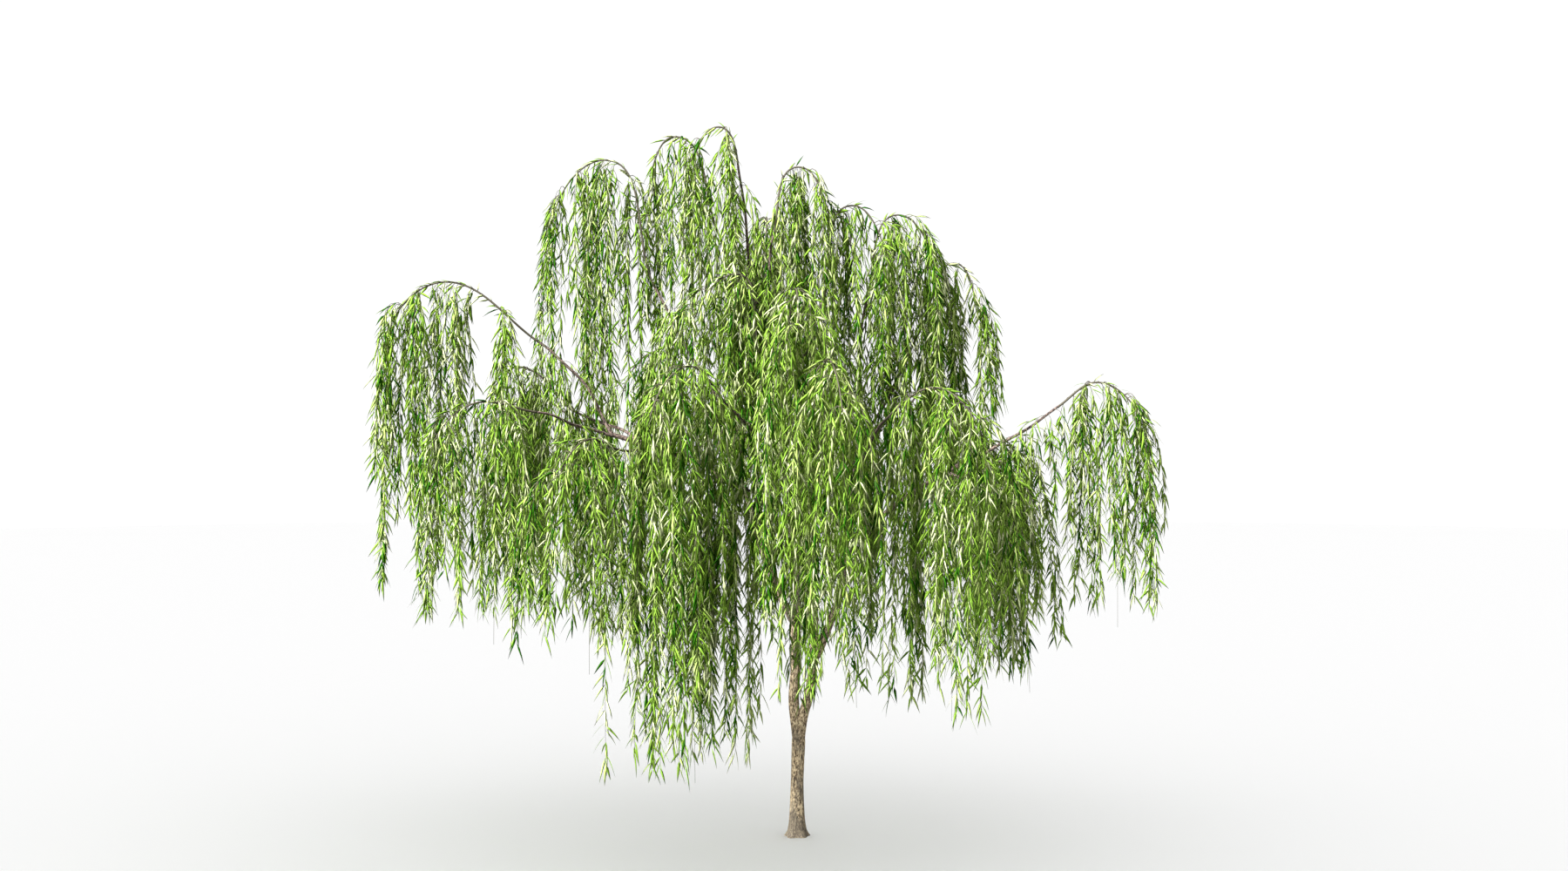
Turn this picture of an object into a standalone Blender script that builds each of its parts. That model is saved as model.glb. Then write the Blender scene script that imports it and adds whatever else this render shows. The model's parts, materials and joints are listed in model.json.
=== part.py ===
"""A young weeping willow, rooted in the ground.

Metres, +Z up. The origin is the middle of the flat cut under the trunk, at ground level.
The trunk forks into two stems, the stems into limbs, and the limbs carry boughs. Each bough
ends where its foliage begins: a stem that arches over a crest, shoots that hang from it
down to a skirt, and long drooping blades, each of which stands for a spray of leaves.
"""
import math
from collections import namedtuple

import bmesh
import bpy
import numpy as np

# Clear space that neighbouring solids keep, and the start of every random draw
GAP = 0.0003
SEED = 20

# Trunk: radius at the ground without its flare, radius under the fork and the share of the
# height where it is reached, height of the top, lean of the top along X, and the root flare:
# how far it swells, how high it climbs, and the toes that it runs out in
TRUNK_FOOT = 0.070
TRUNK_TOP = 0.056
TRUNK_TAPER = 0.55
TRUNK_HEIGHT = 0.90
TRUNK_LEAN = 0.015
FLARE_SWELL = 0.52
FLARE_CLIMB = 0.055
FLARE_TOES = 5
TOE_DEPTH = 0.17

# Faces round each kind of limb, and rings along it, which crowd towards the trunk's foot
TRUNK_SIDES = 16
TRUNK_RINGS = 10
RING_CROWDING = 1.6
STEM_SIDES = 10
LIMB_SIDES = 8
LIMB_RINGS = 6
BOUGH_SIDES = 6
BOUGH_RINGS = 5

# How far a limb wanders from its smooth curve, and how many half waves it wanders in
WANDER = 0.012
WANDER_WAVES = 2.6

# Boughs end at one radius, which the arching stem of the foliage takes up and thins. At its
# end the stem still runs on a little for each metre that it drops
BOUGH_TIP = 0.010
ARCH_END = 0.009
ARCH_SIDES = 4
ARCH_RINGS = 6
ARCH_LEVEL = 0.4

# Shoots: the stretch of the stem that they leave, their radius there and at the tip, how far
# they rise before they bend over, the least and most turn from the stem's own direction, the
# least share of the mass's width that they reach, and the share of the hang by which their
# feet differ, with a power that leaves most of them long. The first one leaves furthest out and
# reaches the skirt
SHOOT_FIRST = 0.97
SHOOT_STRETCH = 0.87
SHOOT_ROOT = 0.0060
SHOOT_END = 0.0045
SHOOT_SIDES = 3
SHOOT_RINGS = 4
SHOOT_RISE = 0.10
SHOOT_TURN = (math.radians(25), math.radians(110))
SHOOT_REACH = 0.45
RAGGED = 0.40
RAGGED_BIAS = 1.7

# Shape of a shoot's curve: how much of its reach it has made where it is highest, how much of
# its drop where it is straight over its foot, and how far the foot swings out past that
SHOOT_OVER = 0.55
SHOOT_BEND = 0.22
SHOOT_SWING = 1.04

# Blades: length, width and thickness, the share of the length where they are widest, angle to
# the shoot, spacing along it, bare length above the first, and how far the roots are sunk
BLADE_LENGTH = 0.48
BLADE_WIDTH = 0.085
BLADE_THICK = 0.012
BLADE_WIDEST = 0.36
BLADE_ANGLE = math.radians(17)
BLADE_END_ANGLE = math.radians(7)
BLADE_SPACING = 0.44
BLADE_BARE = 0.34
BLADE_SUNK = 0.03

# Room that a blade needs about its middle line and about its tip, measured from beyond its
# sunk root, and the clear space round every new piece
BLADE_ROOM = 0.026
BLADE_TIP_ROOM = 0.006
BLADE_STRETCH = (0.2, 0.5, 1.0)
CLEARANCE = 0.006

GOLDEN_SHARE = 0.6180339887
GOLDEN_ANGLE = math.radians(137.5)
UP = np.array([0.0, 0.0, 1.0])

Limb = namedtuple("Limb", "name parent share tip lead arrive root_radius tip_radius sides rings")
Bough = namedtuple("Bough", "name parent share tip lead arrive radius crest end skirt width shoots")

# Limbs: the parent and the share of its length where each starts, its tip, the directions in
# which it leaves and arrives, and its radii
LIMBS = [
    Limb("left_stem", "trunk", 0.88, (-0.01, 0.03, 1.84), (-0.10, 0.04, 1), (0.02, 0.03, 1),
         0.047, 0.041, STEM_SIDES, LIMB_RINGS),
    Limb("right_stem", "trunk", 0.88, (0.16, -0.06, 1.56), (0.18, -0.08, 1), (0.20, -0.06, 1),
         0.044, 0.040, STEM_SIDES, LIMB_RINGS),
    Limb("left_limb", "left_stem", 0.97, (-0.45, 0.05, 2.95), (-0.75, 0, 1), (-0.35, 0, 1),
         0.035, 0.026, LIMB_SIDES, LIMB_RINGS),
    Limb("leader", "left_stem", 0.97, (-0.30, 0.05, 4.15), (0.12, 0.02, 1), (-0.05, 0, 1),
         0.037, 0.021, LIMB_SIDES, LIMB_RINGS),
    Limb("back_limb", "left_stem", 0.82, (0.02, 0.72, 2.80), (0.05, 0.8, 1), (0, 0.45, 1),
         0.030, 0.022, LIMB_SIDES, LIMB_RINGS),
    Limb("front_limb", "right_stem", 0.97, (0.12, -0.40, 2.80), (-0.08, -0.16, 1), (-0.05, -0.4, 1),
         0.034, 0.024, LIMB_SIDES, LIMB_RINGS),
    Limb("right_limb", "right_stem", 0.97, (0.47, 0.00, 2.75), (0.62, 0.06, 1), (0.08, 0.05, 1),
         0.036, 0.028, LIMB_SIDES, LIMB_RINGS),
    Limb("outer_left_limb", "left_limb", 0.98, (-1.58, -0.10, 3.40), (-0.9, -0.05, 0.5), (-1, -0.1, 0.2),
         0.026, 0.020, LIMB_SIDES, LIMB_RINGS),
    Limb("outer_right_limb", "right_limb", 0.80, (1.42, -0.02, 3.16), (0.9, -0.02, 0.6), (1, 0, 0.4),
         0.025, 0.019, LIMB_SIDES, LIMB_RINGS),
]

# Boughs as limbs, and the foliage that each carries: the crest that its stem arches over, the
# place where that stem ends, the height of the skirt, the half width and the shoots that hang
BOUGHS = [
    Bough("top", "leader", 0.98, (-0.50, 0.00, 5.68), (-0.05, 0, 1), (-0.1, 0, 1), 0.015,
          (-0.66, -0.02, 6.00), (-0.90, -0.05, 5.70), 4.20, 0.17, 3),
    Bough("top_left", "leader", 0.90, (-0.68, 0.32, 5.14), (-0.4, 0.5, 1), (-0.4, 0.1, 1), 0.014,
          (-1.06, 0.38, 5.98), (-1.28, 0.42, 5.64), 3.95, 0.16, 4),
    Bough("top_right", "leader", 0.84, (-0.20, -0.18, 5.06), (0.4, -0.3, 1), (0.3, 0, 1), 0.014,
          (0.01, -0.17, 5.64), (0.27, -0.20, 5.24), 3.40, 0.28, 6),
    Bough("upper_left", "leader", 0.50, (-1.22, 0.30, 4.66), (-1, 0.3, 0.7), (-0.6, 0.1, 1), 0.018,
          (-1.66, 0.32, 5.77), (-2.06, 0.35, 5.42), 3.40, 0.38, 7),
    Bough("back_upper", "leader", 0.68, (-0.28, 0.72, 4.76), (0, 1, 1), (-0.05, 0.6, 1), 0.015,
          (-0.27, 1.08, 5.36), (-0.34, 1.50, 4.96), 3.00, 0.44, 6),
    Bough("front_upper", "leader", 0.46, (-0.08, -0.70, 4.12), (0.2, -1, 0.8), (0.05, -0.7, 1), 0.015,
          (-0.02, -1.05, 4.55), (0.00, -1.50, 4.20), 1.90, 0.44, 7),
    Bough("upper_right", "right_limb", 0.98, (0.62, 0.10, 4.66), (0.1, 0.05, 1), (0.2, 0, 1), 0.022,
          (0.86, 0.10, 5.27), (1.17, 0.10, 4.88), 3.00, 0.38, 6),
    Bough("right_shoulder", "upper_right_bough", 0.30, (1.10, 0.34, 4.36), (0.8, 0.3, 1), (0.5, 0.1, 1),
          0.014, (1.36, 0.35, 4.88), (1.58, 0.38, 4.48), 2.80, 0.32, 5),
    Bough("far_left", "outer_left_limb", 0.98, (-2.16, -0.15, 4.17), (-0.5, 0, 1), (-1, -0.1, 0.6), 0.015,
          (-2.92, -0.26, 4.67), (-3.34, -0.34, 4.36), 2.10, 0.40, 8),
    Bough("left_low", "outer_left_limb", 0.95, (-2.12, -0.62, 3.58), (-1, -0.5, 0.1), (-1, -0.6, 0.15),
          0.014, (-2.50, -0.86, 3.66), (-2.86, -1.08, 3.36), 1.90, 0.38, 6),
    Bough("left_mid", "outer_left_limb", 0.55, (-1.43, -1.05, 3.28), (-0.3, -1, 0.3), (-0.4, -1, 0.1),
          0.014, (-1.60, -1.42, 3.36), (-1.80, -1.80, 3.06), 1.74, 0.42, 7),
    Bough("left_back", "outer_left_limb", 0.72, (-2.00, 0.72, 3.56), (-0.5, 1, 0.3), (-0.6, 0.8, 0.3),
          0.014, (-2.38, 1.00, 3.76), (-2.70, 1.26, 3.46), 1.70, 0.40, 6),
    Bough("far_right", "outer_right_limb", 0.98, (2.22, 0.00, 3.64), (1, 0, 0.4), (1, 0, 0.7), 0.015,
          (2.54, 0.00, 3.84), (2.90, -0.02, 3.54), 1.88, 0.32, 6),
    Bough("right_inner", "outer_right_limb", 0.84, (1.46, -0.46, 3.06), (0.5, -1, 0), (0.7, -0.6, 0.2),
          0.013, (1.64, -0.60, 3.18), (1.82, -0.78, 2.86), 1.42, 0.32, 7),
    Bough("right_back", "outer_right_limb", 0.70, (1.50, 0.74, 3.28), (0.4, 1, 0.4), (0.6, 0.7, 0.3),
          0.014, (1.78, 1.00, 3.34), (2.06, 1.26, 2.98), 1.45, 0.40, 6),
    Bough("front_left", "front_limb", 0.90, (-0.51, -1.10, 3.58), (-0.8, -0.7, 1), (-0.8, -0.8, 0.6),
          0.016, (-0.83, -1.50, 3.92), (-1.11, -1.92, 3.52), 0.80, 0.38, 9),
    Bough("front_low", "front_limb", 0.50, (-0.27, -0.82, 2.88), (-0.6, -0.6, 0.6), (-0.4, -0.8, 0.4),
          0.014, (-0.66, -1.04, 3.02), (-0.92, -1.30, 2.74), 0.92, 0.42, 6),
    Bough("front_centre", "front_limb", 0.98, (0.14, -1.16, 3.66), (0.1, -0.6, 1), (0.1, -0.8, 0.6),
          0.017, (0.22, -1.64, 3.97), (0.32, -2.12, 3.56), 1.38, 0.37, 7),
    Bough("front_right", "right_limb", 0.86, (0.68, -1.02, 3.50), (0.2, -1, 0.8), (0.4, -0.9, 0.4),
          0.016, (1.04, -1.46, 3.76), (1.38, -1.80, 3.38), 1.24, 0.42, 8),
    Bough("back_left", "back_limb", 0.92, (-0.90, 1.30, 3.84), (-0.8, 0.4, 1), (-0.8, 0.6, 0.5),
          0.016, (-1.30, 1.70, 4.18), (-1.66, 2.10, 3.78), 1.40, 0.46, 6),
    Bough("back_centre", "back_limb", 0.98, (0.26, 1.45, 3.94), (0.1, 0.5, 1), (0.1, 1, 0.6),
          0.016, (0.34, 1.94, 4.28), (0.42, 2.38, 3.84), 1.48, 0.44, 5),
    Bough("back_right", "back_limb", 0.80, (0.95, 1.24, 3.60), (1, 0.2, 0.9), (0.8, 0.6, 0.4),
          0.015, (1.28, 1.62, 3.90), (1.56, 1.96, 3.50), 1.48, 0.42, 5),
    Bough("inner_left", "leader", 0.58, (-0.33, -0.16, 4.10), (-0.2, -0.3, 1), (-0.2, -0.1, 1),
          0.015, (-0.51, -0.20, 4.74), (-0.86, -0.24, 4.36), 2.75, 0.44, 6),
    Bough("inner_right", "leader", 0.76, (0.24, -0.12, 4.60), (0.8, -0.1, 1), (0.3, -0.05, 1),
          0.014, (0.46, -0.14, 5.32), (0.74, -0.18, 4.94), 3.30, 0.38, 5),
    Bough("left_inner", "outer_left_limb", 0.80, (-2.02, 0.18, 3.70), (-0.5, 0.6, 0.8), (-0.7, 0.2, 1),
          0.013, (-2.40, 0.26, 3.98), (-2.66, 0.32, 3.68), 2.40, 0.26, 4),
]

BARK = ((0.47, 0.40, 0.29, 1.0), 0.85)
YOUNG_BARK = ((0.30, 0.24, 0.20, 1.0), 0.80)
FOLIAGE = ((0.22, 0.33, 0.09, 1.0), 0.60)


def finish(name, colour, roughness):
    """A plain material of one colour."""
    material = bpy.data.materials.new(name)
    material.use_nodes = True
    shader = material.node_tree.nodes["Principled BSDF"]
    shader.inputs["Base Color"].default_value = colour
    shader.inputs["Roughness"].default_value = roughness
    shader.inputs["Metallic"].default_value = 0.0
    return material


def unit(vector):
    """The vector at length one."""
    vector = np.asarray(vector, dtype=float)
    return vector / np.linalg.norm(vector)


def bezier(points, shares):
    """The cubic curve of four control points, at each share of it."""
    t = shares[:, None]
    a, b, c, d = (np.asarray(point, dtype=float) for point in points)
    return (1 - t) ** 3 * a + 3 * (1 - t) ** 2 * t * b + 3 * (1 - t) * t ** 2 * c + t ** 3 * d


def limb_path(start, tip, lead, arrive, rings, draw):
    """Centres of a limb from start to tip that leaves along lead, arrives along arrive and wanders."""
    shares = np.linspace(0.0, 1.0, rings + 1)
    chord = np.linalg.norm(np.subtract(tip, start))
    after, before = start + chord / 3 * unit(lead), tip - chord / 3 * unit(arrive)
    centres = bezier((start, after, before, tip), shares)
    swing = np.sin(math.pi * shares)[:, None] * WANDER * chord
    phases = draw.uniform(0, 2 * math.pi, 3)
    return centres + swing * np.sin(WANDER_WAVES * math.pi * shares[:, None] + phases)


def arch_path(start, lead, crest, end, shares):
    """Centres of a stem that rises from start to its crest, level there, and bends down to its end."""
    start, crest, end = (np.asarray(point, dtype=float) for point in (start, crest, end))
    level = unit((end - start) * (1, 1, 0))
    rise = np.linalg.norm(crest - start) / 3
    fall = np.linalg.norm(end - crest) / 3
    first = (start, start + rise * unit(lead), crest - rise * level, crest)
    second = (crest, crest + fall * level, end - fall * unit(ARCH_LEVEL * level - UP), end)
    near = bezier(first, np.clip(2 * shares, 0, 1))
    far = bezier(second, np.clip(2 * shares - 1, 0, 1))
    return np.where(shares[:, None] < 0.5, near, far)


def frames(centres, lead=None):
    """Directions along and across the path at each centre, carried along it without twisting."""
    along = np.gradient(centres, axis=0)
    if lead is not None:
        along[0] = lead
    along /= np.linalg.norm(along, axis=1)[:, None]
    side = np.cross(along[0], (0.31, 0.95, 0.05))
    sides = []
    for tangent in along:
        side = unit(side - tangent * (side @ tangent))
        sides.append(side)
    sides = np.array(sides)
    return along, sides, np.cross(along, sides)


def tube(centres, radii, count, grow=0.0, lead=None):
    """Points and faces of a closed tube, its first end square to lead. grow swells it all round."""
    along, side, other = frames(centres, lead)
    centres = centres.copy()
    centres[0] -= along[0] * grow
    centres[-1] += along[-1] * grow
    angles = np.arange(count) * 2 * math.pi / count
    radii = np.asarray(radii, dtype=float)
    if radii.ndim == 1:
        radii = np.repeat(radii[:, None], count, axis=1)
    radii = radii + grow / math.cos(math.pi / count)
    ring = side[:, None] * np.cos(angles)[None, :, None] + other[:, None] * np.sin(angles)[None, :, None]
    points = (centres[:, None] + ring * radii[:, :, None]).reshape(-1, 3)
    faces = []
    for row in range(len(centres) - 1):
        for column in range(count):
            here = row * count + column
            beside = row * count + (column + 1) % count
            faces.append((here, beside, beside + count, here + count))
    last = (len(centres) - 1) * count
    faces.append(tuple(range(count - 1, -1, -1)))
    faces.append(tuple(range(last, last + count)))
    return points, faces


def blade(root, along, across, length):
    """Points and faces of a drooping spray: a pointed blade, ridged on both sides, of eight faces."""
    through = np.cross(along, across)
    middle = root + along * length * BLADE_WIDEST
    half_width = across * BLADE_WIDTH / 2
    half_thick = through * BLADE_THICK / 2
    points = np.array([root, middle + half_width, middle + half_thick,
                       middle - half_width, middle - half_thick, root + along * length])
    faces = []
    for corner in range(4):
        here = 1 + corner
        beside = 1 + (corner + 1) % 4
        faces.append((0, beside, here))
        faces.append((5, here, beside))
    return points, faces


def new_object(name, shape, material, home):
    """An object in the given collection from points and faces."""
    mesh = bpy.data.meshes.new(name)
    points, faces = shape
    mesh.from_pydata([tuple(point) for point in points], [], faces)
    work = bmesh.new()
    work.from_mesh(mesh)
    bmesh.ops.recalc_face_normals(work, faces=work.faces)
    work.to_mesh(mesh)
    work.free()
    mesh.materials.append(material)
    made = bpy.data.objects.new(name, mesh)
    home.objects.link(made)
    return made


def combine(target, shapes, operation, solver):
    """Join the shapes to the target, or cut them from it, by one Boolean on a collection."""
    tools = bpy.data.collections.new(target.name + "_tools")
    bpy.context.scene.collection.children.link(tools)
    for number, shape in enumerate(shapes):
        new_object(f"{target.name}_tool_{number}", shape, target.data.materials[0], tools)
    modifier = target.modifiers.new("combine", "BOOLEAN")
    modifier.operation = operation
    modifier.solver = solver
    modifier.operand_type = "COLLECTION"
    modifier.collection = tools
    bpy.context.view_layer.objects.active = target
    bpy.ops.object.modifier_apply(modifier=modifier.name)
    for tool in list(tools.objects):
        bpy.data.objects.remove(tool)
    bpy.data.collections.remove(tools)
    keep_outer_shell(target.data)


def keep_outer_shell(mesh):
    """Keep the largest connected shell, which drops loose scraps and fills sealed hollows."""
    work = bmesh.new()
    work.from_mesh(mesh)
    unseen = set(work.faces)
    shells = []
    while unseen:
        shell = [unseen.pop()]
        for face in shell:
            for edge in face.edges:
                for neighbour in edge.link_faces:
                    if neighbour in unseen:
                        unseen.remove(neighbour)
                        shell.append(neighbour)
        shells.append(shell)
    shells.sort(key=lambda shell: sum(face.calc_area() for face in shell))
    scraps = [face for shell in shells[:-1] for face in shell]
    bmesh.ops.delete(work, geom=scraps, context="FACES")
    work.to_mesh(mesh)
    work.free()


def segment_distances(start, end, starts, ends):
    """Shortest distance from the segment start-end to each of the segments starts-ends."""
    u = end - start
    v = ends - starts
    w = start - starts
    uu = u @ u
    vv = (v * v).sum(axis=1)
    uv = v @ u
    uw = w @ u
    vw = (v * w).sum(axis=1)
    spread = np.maximum(uu * vv - uv * uv, 1e-12)
    s = np.clip((uv * vw - vv * uw) / spread, 0, 1)
    t = np.clip((uv * s + vw) / vv, 0, 1)
    s = np.clip((uv * t - uw) / uu, 0, 1)
    return np.linalg.norm(w + s[:, None] * u - t[:, None] * v, axis=1)


class Room:
    """The space already taken, as short round rods, each with the name of its owner."""

    def __init__(self):
        self.starts = np.empty((0, 3))
        self.ends = np.empty((0, 3))
        self.radii = np.empty(0)
        self.owners = np.empty(0, dtype=object)

    def take(self, owner, centres, radii):
        """Note a path of rods, each as thick as the thicker of its two ends."""
        self.starts = np.vstack([self.starts, centres[:-1]])
        self.ends = np.vstack([self.ends, centres[1:]])
        self.radii = np.append(self.radii, np.maximum(radii[:-1], radii[1:]))
        self.owners = np.append(self.owners, np.array([owner] * (len(centres) - 1), dtype=object))

    def free(self, centres, radii, ignored):
        """Whether a path keeps clear of every rod but those of the ignored owners."""
        others = ~np.isin(self.owners, ignored)
        starts, ends, taken = self.starts[others], self.ends[others], self.radii[others]
        for near, far, near_radius, far_radius in zip(centres[:-1], centres[1:], radii[:-1], radii[1:]):
            reach = taken + max(near_radius, far_radius) + CLEARANCE
            if (segment_distances(near, far, starts, ends) < reach).any():
                return False
        return True


def shoot_paths(bough, stem, draw):
    """Hanging shoots: each leaves the stem to one side, bends over and hangs to the skirt."""
    shares = np.linspace(0.0, 1.0, SHOOT_RINGS + 1)
    along = np.gradient(stem, axis=0)
    for number in range(bough.shoots):
        place = SHOOT_FIRST - SHOOT_STRETCH * ((number * GOLDEN_SHARE) % 1.0)
        row = place * (len(stem) - 1)
        root = np.array([np.interp(row, np.arange(len(stem)), stem[:, axis]) for axis in range(3)])
        forward = unit(along[int(round(row))] * (1, 1, 0))
        across = np.cross(UP, forward) * (1 if number % 2 else -1)
        turn = draw.uniform(*SHOOT_TURN)
        out = forward * math.cos(turn) + across * math.sin(turn)
        out = out * bough.width * draw.uniform(SHOOT_REACH, 1.0)
        hang = bough.crest[2] - bough.skirt
        short = RAGGED * hang * ((number * GOLDEN_SHARE ** 2) % 1.0) ** RAGGED_BIAS
        drop = root[2] - bough.skirt - short - BLADE_LENGTH
        over = root + out * SHOOT_OVER + UP * SHOOT_RISE
        bend = root + out - UP * drop * SHOOT_BEND
        foot = root + out * SHOOT_SWING - UP * drop
        yield bezier((root, over, bend, foot), shares)


def blades_on(path, draw):
    """Root, direction and crossways vector of each blade down a shoot, left and right in turn."""
    steps = np.linalg.norm(np.diff(path, axis=0), axis=1)
    run = np.append(0, np.cumsum(steps))
    along, side, other = frames(path)
    spin = draw.uniform(0, 2 * math.pi)
    count = int((run[-1] - BLADE_BARE) / BLADE_SPACING) + 1
    for number in range(count):
        distance = run[-1] - BLADE_SUNK - number * BLADE_SPACING
        row = min(int(np.searchsorted(run, distance)), len(path) - 1)
        root = np.array([np.interp(distance, run, path[:, axis]) for axis in range(3)])
        tangent = along[row]
        angle = spin + number * GOLDEN_ANGLE
        outward = side[row] * math.cos(angle) + other[row] * math.sin(angle)
        lean = BLADE_ANGLE if number else BLADE_END_ANGLE
        direction = unit(tangent * math.cos(lean) + outward * math.sin(lean))
        across = unit(np.cross(direction, outward))
        yield root, direction, across


def grow_foliage(bough, stem_start, stem_lead, room, draw, home, material):
    """One foliage mass: its stem, the shoots that find room, and their blades, fused into one body."""
    name = bough.name + "_foliage"
    shares = np.linspace(0.0, 1.0, ARCH_RINGS + 1)
    stem = arch_path(stem_start, stem_lead, bough.crest, bough.end, shares)
    stem_radii = np.linspace(BOUGH_TIP, ARCH_END, len(stem))
    mass = new_object(name, tube(stem, stem_radii, ARCH_SIDES, lead=stem_lead), material, home)
    shapes = []
    for number, path in enumerate(list(shoot_paths(bough, stem, draw))):
        owner = f"{name}_{number}"
        radii = np.linspace(SHOOT_ROOT, SHOOT_END, len(path))
        if not room.free(path, radii, [name]):
            continue
        room.take(owner, path, radii)
        shapes.append(tube(path, radii, SHOOT_SIDES))
        for root, direction, across in blades_on(path, draw):
            ends = root + np.outer(BLADE_STRETCH, direction) * BLADE_LENGTH
            widths = np.array((BLADE_ROOM, BLADE_ROOM, BLADE_TIP_ROOM))
            if not room.free(ends, widths, [owner]):
                continue
            room.take(owner + "_blades", ends, widths)
            shapes.append(blade(root, direction, across, BLADE_LENGTH))
    combine(mass, shapes, "UNION", "EXACT")


def trunk_shape():
    """Path and radii of the trunk: a leaning taper with a lobed root flare round its foot."""
    heights = TRUNK_HEIGHT * np.linspace(0.0, 1.0, TRUNK_RINGS + 1) ** RING_CROWDING
    share = heights / TRUNK_HEIGHT
    centres = np.stack([TRUNK_LEAN * share ** 2, 0 * share, heights], axis=1)
    angles = np.arange(TRUNK_SIDES) * 2 * math.pi / TRUNK_SIDES
    taper = TRUNK_FOOT + (TRUNK_TOP - TRUNK_FOOT) * np.minimum(share / TRUNK_TAPER, 1.0)
    swell = FLARE_SWELL * np.exp(-heights / FLARE_CLIMB)
    toes = 1 + TOE_DEPTH / FLARE_SWELL * np.cos(FLARE_TOES * angles)
    radii = taper[:, None] * (1 + swell[:, None] * toes[None, :])
    return centres, radii


def build():
    """Grow the whole tree from the ground up."""
    for old in list(bpy.data.objects):
        bpy.data.objects.remove(old)
    home = bpy.context.scene.collection
    bark = finish("willow_bark", *BARK)
    young_bark = finish("young_bark", *YOUNG_BARK)
    foliage = finish("willow_foliage", *FOLIAGE)
    room = Room()

    centres, radii = trunk_shape()
    new_object("trunk", tube(centres, radii, TRUNK_SIDES), bark, home)
    paths = {"trunk": (centres, radii, TRUNK_SIDES)}
    parents = {"trunk": None}
    room.take("trunk", centres, radii.max(axis=1))

    boughs = [Limb(b.name + "_bough", b.parent, b.share, b.tip, b.lead, b.arrive,
                   b.radius, BOUGH_TIP, BOUGH_SIDES, BOUGH_RINGS) for b in BOUGHS]
    for number, limb in enumerate(LIMBS + boughs):
        draw = np.random.default_rng([SEED, number])
        base, _, _ = paths[limb.parent]
        row = limb.share * (len(base) - 1)
        start = np.array([np.interp(row, np.arange(len(base)), base[:, axis]) for axis in range(3)])
        centres = limb_path(start, np.array(limb.tip), limb.lead, limb.arrive, limb.rings, draw)
        radii = np.linspace(limb.root_radius, limb.tip_radius, len(centres))
        material = bark if limb in LIMBS[:2] else young_bark
        made = new_object(limb.name, tube(centres, radii, limb.sides), material, home)
        kin = [limb.parent, parents[limb.parent]]
        kin += [name for name, parent in parents.items() if parent == limb.parent]
        cutters = [tube(*paths[name], grow=GAP) for name in kin if name]
        combine(made, cutters, "DIFFERENCE", "EXACT")
        paths[limb.name] = (centres, radii, limb.sides)
        parents[limb.name] = limb.parent
        room.take(limb.name, centres, radii)
        made.data.shade_smooth()

    stems = []
    for bough in BOUGHS:
        centres, _, _ = paths[bough.name + "_bough"]
        lead = unit(centres[-1] - centres[-2])
        start = centres[-1] + lead * GAP
        stem = arch_path(start, lead, bough.crest, bough.end, np.linspace(0, 1, ARCH_RINGS + 1))
        room.take(bough.name + "_foliage", stem, np.linspace(BOUGH_TIP, ARCH_END, len(stem)))
        stems.append((start, lead))
    for number, (bough, (start, lead)) in enumerate(zip(BOUGHS, stems)):
        draw = np.random.default_rng([SEED, 100 + number])
        grow_foliage(bough, start, lead, room, draw, home, foliage)


build()
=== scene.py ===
"""Looks of a young weeping willow: bark, limbs, hanging twigs and leaves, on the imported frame."""
import json
import math
from collections import namedtuple

import bpy
import numpy as np
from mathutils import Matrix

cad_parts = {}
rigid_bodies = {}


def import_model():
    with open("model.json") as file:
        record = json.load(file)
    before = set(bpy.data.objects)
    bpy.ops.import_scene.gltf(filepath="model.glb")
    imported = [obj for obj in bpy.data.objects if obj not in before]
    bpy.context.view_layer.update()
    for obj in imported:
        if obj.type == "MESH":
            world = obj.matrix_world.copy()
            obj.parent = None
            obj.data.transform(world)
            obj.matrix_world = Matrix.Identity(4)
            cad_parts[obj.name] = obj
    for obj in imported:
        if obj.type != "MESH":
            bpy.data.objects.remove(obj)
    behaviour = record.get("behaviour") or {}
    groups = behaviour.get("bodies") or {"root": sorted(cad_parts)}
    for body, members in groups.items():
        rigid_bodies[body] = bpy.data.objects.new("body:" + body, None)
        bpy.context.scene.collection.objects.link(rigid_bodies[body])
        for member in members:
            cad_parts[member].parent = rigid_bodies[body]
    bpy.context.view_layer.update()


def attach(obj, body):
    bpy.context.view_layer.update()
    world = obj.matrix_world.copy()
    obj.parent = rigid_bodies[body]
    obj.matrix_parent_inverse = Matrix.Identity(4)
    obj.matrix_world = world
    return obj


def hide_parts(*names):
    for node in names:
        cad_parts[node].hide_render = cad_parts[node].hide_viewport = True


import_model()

# ---------------------------------------------------------------------------------------------
# Trunk. One stout stem of a young willow, furrowed pale bark over green wood. It swells into
# toes where it enters the ground, and its top is hidden in the fork of the two stems.
# ---------------------------------------------------------------------------------------------
SEED = 20
UP = np.array([0.0, 0.0, 1.0])

# Streams of random numbers. The limbs' are numbered from nought, and a bough's place in its list
# is added to the last three.
TRUNK_DRAW = 900
SHOOT_DRAW = 100
SPRAY_DRAW = 300
LEAF_DRAW = 500

TRUNK_FOOT = 0.070
TRUNK_TOP = 0.056
TRUNK_TAPER = 0.55
TRUNK_HEIGHT = 0.90
TRUNK_LEAN = 0.015
TRUNK_DOME = 0.10
DOME_END = 0.98
FLARE_SWELL = 0.52
FLARE_CLIMB = 0.055
FLARE_TOES = 5
TOE_DEPTH = 0.17
RING_CROWDING = 1.6
TRUNK_RINGS = 170
TRUNK_SIDES = 128
TRUNK_FURROW = 0.0030
TRUNK_FURROWS = (15, 27)
TRUNK_BUMP = 0.0026
TRUNK_FINE_BUMP = 0.004
FORK_LOBES = 2
FORK_LOBE = 0.10
FORK_DEPTH = 0.22
ACROSS_HINT = (0.31, 0.95, 0.05)

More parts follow.
